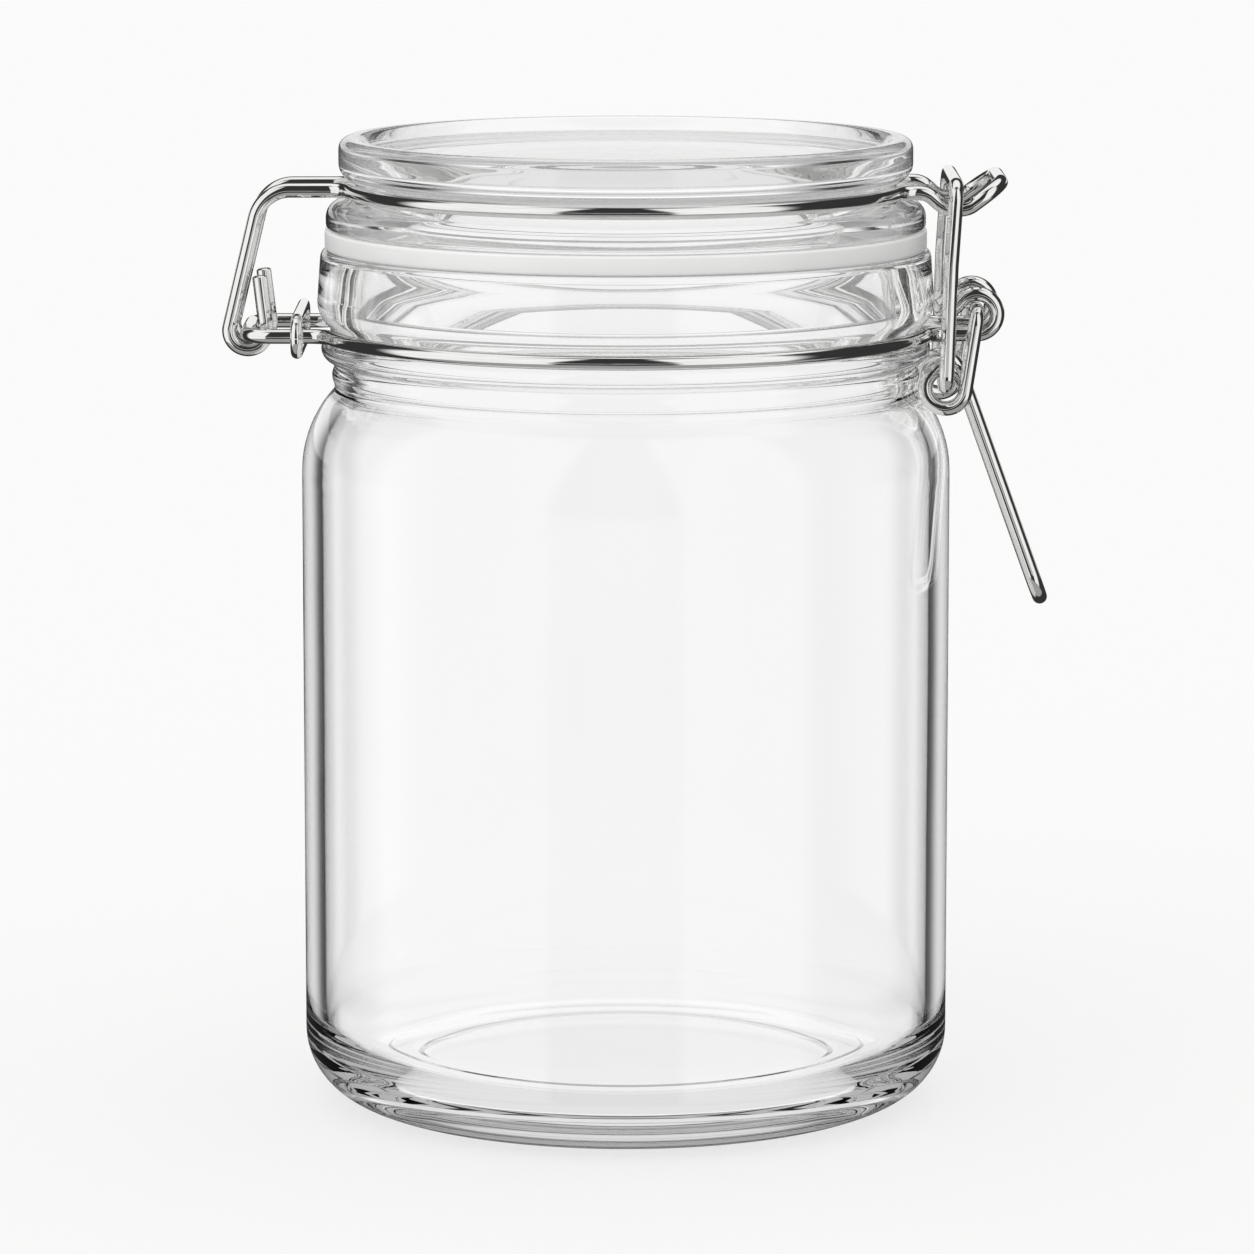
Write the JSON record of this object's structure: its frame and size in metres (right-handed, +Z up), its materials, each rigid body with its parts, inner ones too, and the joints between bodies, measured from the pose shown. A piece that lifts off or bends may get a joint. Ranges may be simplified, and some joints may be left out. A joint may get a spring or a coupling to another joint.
{
  "type": "lidded glass canister",
  "caption": "Round clear glass storage jar with a hinged glass lid, a soft seal ring and a bent-wire over-centre latch that clamps the lid shut.",
  "frame": {"origin": "centre of the jar's standing ring, on the surface it stands on", "axes": "+Z up along the jar's axis, +X towards the latch, -X towards the hinge, -Y towards the picture's camera"},
  "size_m": [0.1396, 0.11, 0.1645],
  "materials": {
    "glass": "clear pressed glass, fire-polished",
    "seal": "smooth off-white silicone",
    "wire": "bright drawn stainless wire, polished"
  },
  "bodies": {
    "jar": {"jar": "glass", "neck_wire": "wire", "hinge_tie_ring": "wire"},
    "lid": {"lid": "glass", "seal_ring": "seal", "lid_wire": "wire"},
    "lever": {"latch_lever": "wire"},
    "link": {"latch_link": "wire"}
  },
  "joints": [
    {"name": "lid_hinge", "type": "hinge", "parent": "jar", "child": "lid", "pos_m": [-0.0637, 0, 0.132], "axis": [0, -1, 0], "range_deg": [0, 200]},
    {"name": "lever_swing", "type": "hinge", "parent": "jar", "child": "lever", "pos_m": [0.059, 0, 0.136], "axis": [0, -1, 0], "range_deg": [0, 120]},
    {"name": "link_swing", "type": "hinge", "parent": "lever", "child": "link", "pos_m": [0.0537, 0, 0.1235], "axis": [0, -1, 0], "range_deg": [-80, 0]}
  ],
  "couplings": [
    {"joint": "link_swing", "follows": "lever_swing", "ratio": -0.66667}
  ]
}
